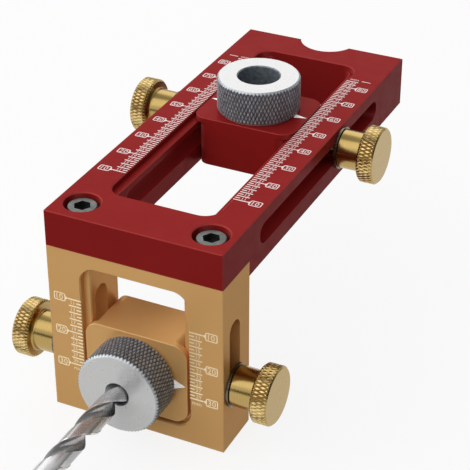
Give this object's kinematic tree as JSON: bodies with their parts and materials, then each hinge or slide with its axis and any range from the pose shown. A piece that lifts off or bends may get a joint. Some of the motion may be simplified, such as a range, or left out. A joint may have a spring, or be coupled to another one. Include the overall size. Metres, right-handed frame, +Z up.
{
  "type": "drill guide",
  "caption": "Corner drill guide: slotted red plate and gold end block, each with a sliding knurled drill bush, thumb screws and a drill bit.",
  "frame": {"origin": "inner corner where the plate's underside meets the end block's inner face, midway across the width: the board's edge line", "axes": "+X to the right across the board, +Y along the board away from the end block, +Z up from the board's face"},
  "size_m": [0.0728, 0.1985, 0.0689],
  "materials": {
    "red_anodised": "red anodised, satin",
    "gold_anodised": "gold anodised, satin",
    "bush_steel": "turned, satin, knurled rim",
    "brass": "turned and knurled",
    "washer_steel": "polished",
    "screw_steel": "zinc plated",
    "bit_steel": "ground high-speed steel"
  },
  "bodies": {
    "guide": {"base_plate": "red_anodised", "end_block": "gold_anodised", "left_cap_screw": "screw_steel", "right_cap_screw": "screw_steel"},
    "plate_slider": {"plate_slider": "red_anodised"},
    "block_slider": {"block_slider": "gold_anodised"},
    "plate_drill_bush": {"plate_drill_bush": "bush_steel"},
    "block_drill_bush": {"block_drill_bush": "bush_steel"},
    "drill_bit": {"drill_bit": "bit_steel"},
    "plate_left_washer": {"plate_left_washer": "washer_steel"},
    "plate_left_thumb_screw": {"plate_left_thumb_screw": "brass"},
    "plate_right_washer": {"plate_right_washer": "washer_steel"},
    "plate_right_thumb_screw": {"plate_right_thumb_screw": "brass"},
    "block_left_washer": {"block_left_washer": "washer_steel"},
    "block_left_thumb_screw": {"block_left_thumb_screw": "brass"},
    "block_right_washer": {"block_right_washer": "washer_steel"},
    "block_right_thumb_screw": {"block_right_thumb_screw": "brass"}
  },
  "joints": [
    {"name": "plate_slider_travel", "type": "slide", "parent": "guide", "child": "plate_slider", "axis": [0, 1, 0], "range_m": [-0.0455, 0.0236]},
    {"name": "block_slider_travel", "type": "slide", "parent": "guide", "child": "block_slider", "axis": [0, 0, 1], "range_m": [-0.0006, 0.0154]},
    {"name": "plate_bush_turn", "type": "hinge", "parent": "plate_slider", "child": "plate_drill_bush", "pos_m": [0, 0.0576, 0.0144], "axis": [0, 0, 1], "range_deg": [0, 360]},
    {"name": "block_bush_turn", "type": "hinge", "parent": "block_slider", "child": "block_drill_bush", "pos_m": [0, -0.015, -0.0272], "axis": [0, -1, 0], "range_deg": [0, 360]},
    {"name": "drill_bit_feed", "type": "slide", "parent": "block_slider", "child": "drill_bit", "axis": [0, 1, 0], "range_m": [-0.02, 0.04]},
    {"name": "plate_left_washer_slide", "type": "slide", "parent": "plate_slider", "child": "plate_left_washer", "axis": [-1, 0, 0], "range_m": [0, 0.0016]},
    {"name": "plate_left_thumb_screw_turn", "type": "hinge", "parent": "plate_left_washer", "child": "plate_left_thumb_screw", "pos_m": [-0.0341, 0.0576, 0.0079], "axis": [-1, 0, 0], "range_deg": [0, 720]},
    {"name": "plate_right_washer_slide", "type": "slide", "parent": "plate_slider", "child": "plate_right_washer", "axis": [1, 0, 0], "range_m": [0, 0.0016]},
    {"name": "plate_right_thumb_screw_turn", "type": "hinge", "parent": "plate_right_washer", "child": "plate_right_thumb_screw", "pos_m": [0.0341, 0.0576, 0.0079], "axis": [1, 0, 0], "range_deg": [0, 720]},
    {"name": "block_left_washer_slide", "type": "slide", "parent": "block_slider", "child": "block_left_washer", "axis": [-1, 0, 0], "range_m": [0, 0.0016]},
    {"name": "block_left_thumb_screw_turn", "type": "hinge", "parent": "block_left_washer", "child": "block_left_thumb_screw", "pos_m": [-0.0341, -0.0085, -0.0272], "axis": [-1, 0, 0], "range_deg": [0, 720]},
    {"name": "block_right_washer_slide", "type": "slide", "parent": "block_slider", "child": "block_right_washer", "axis": [1, 0, 0], "range_m": [0, 0.0016]},
    {"name": "block_right_thumb_screw_turn", "type": "hinge", "parent": "block_right_washer", "child": "block_right_thumb_screw", "pos_m": [0.0341, -0.0085, -0.0272], "axis": [1, 0, 0], "range_deg": [0, 720]}
  ],
  "couplings": [
    {"joint": "plate_left_thumb_screw_turn", "follows": "plate_left_washer_slide", "rad_per_m": 7854},
    {"joint": "plate_right_thumb_screw_turn", "follows": "plate_right_washer_slide", "rad_per_m": 7854},
    {"joint": "block_left_thumb_screw_turn", "follows": "block_left_washer_slide", "rad_per_m": 7854},
    {"joint": "block_right_thumb_screw_turn", "follows": "block_right_washer_slide", "rad_per_m": 7854}
  ]
}
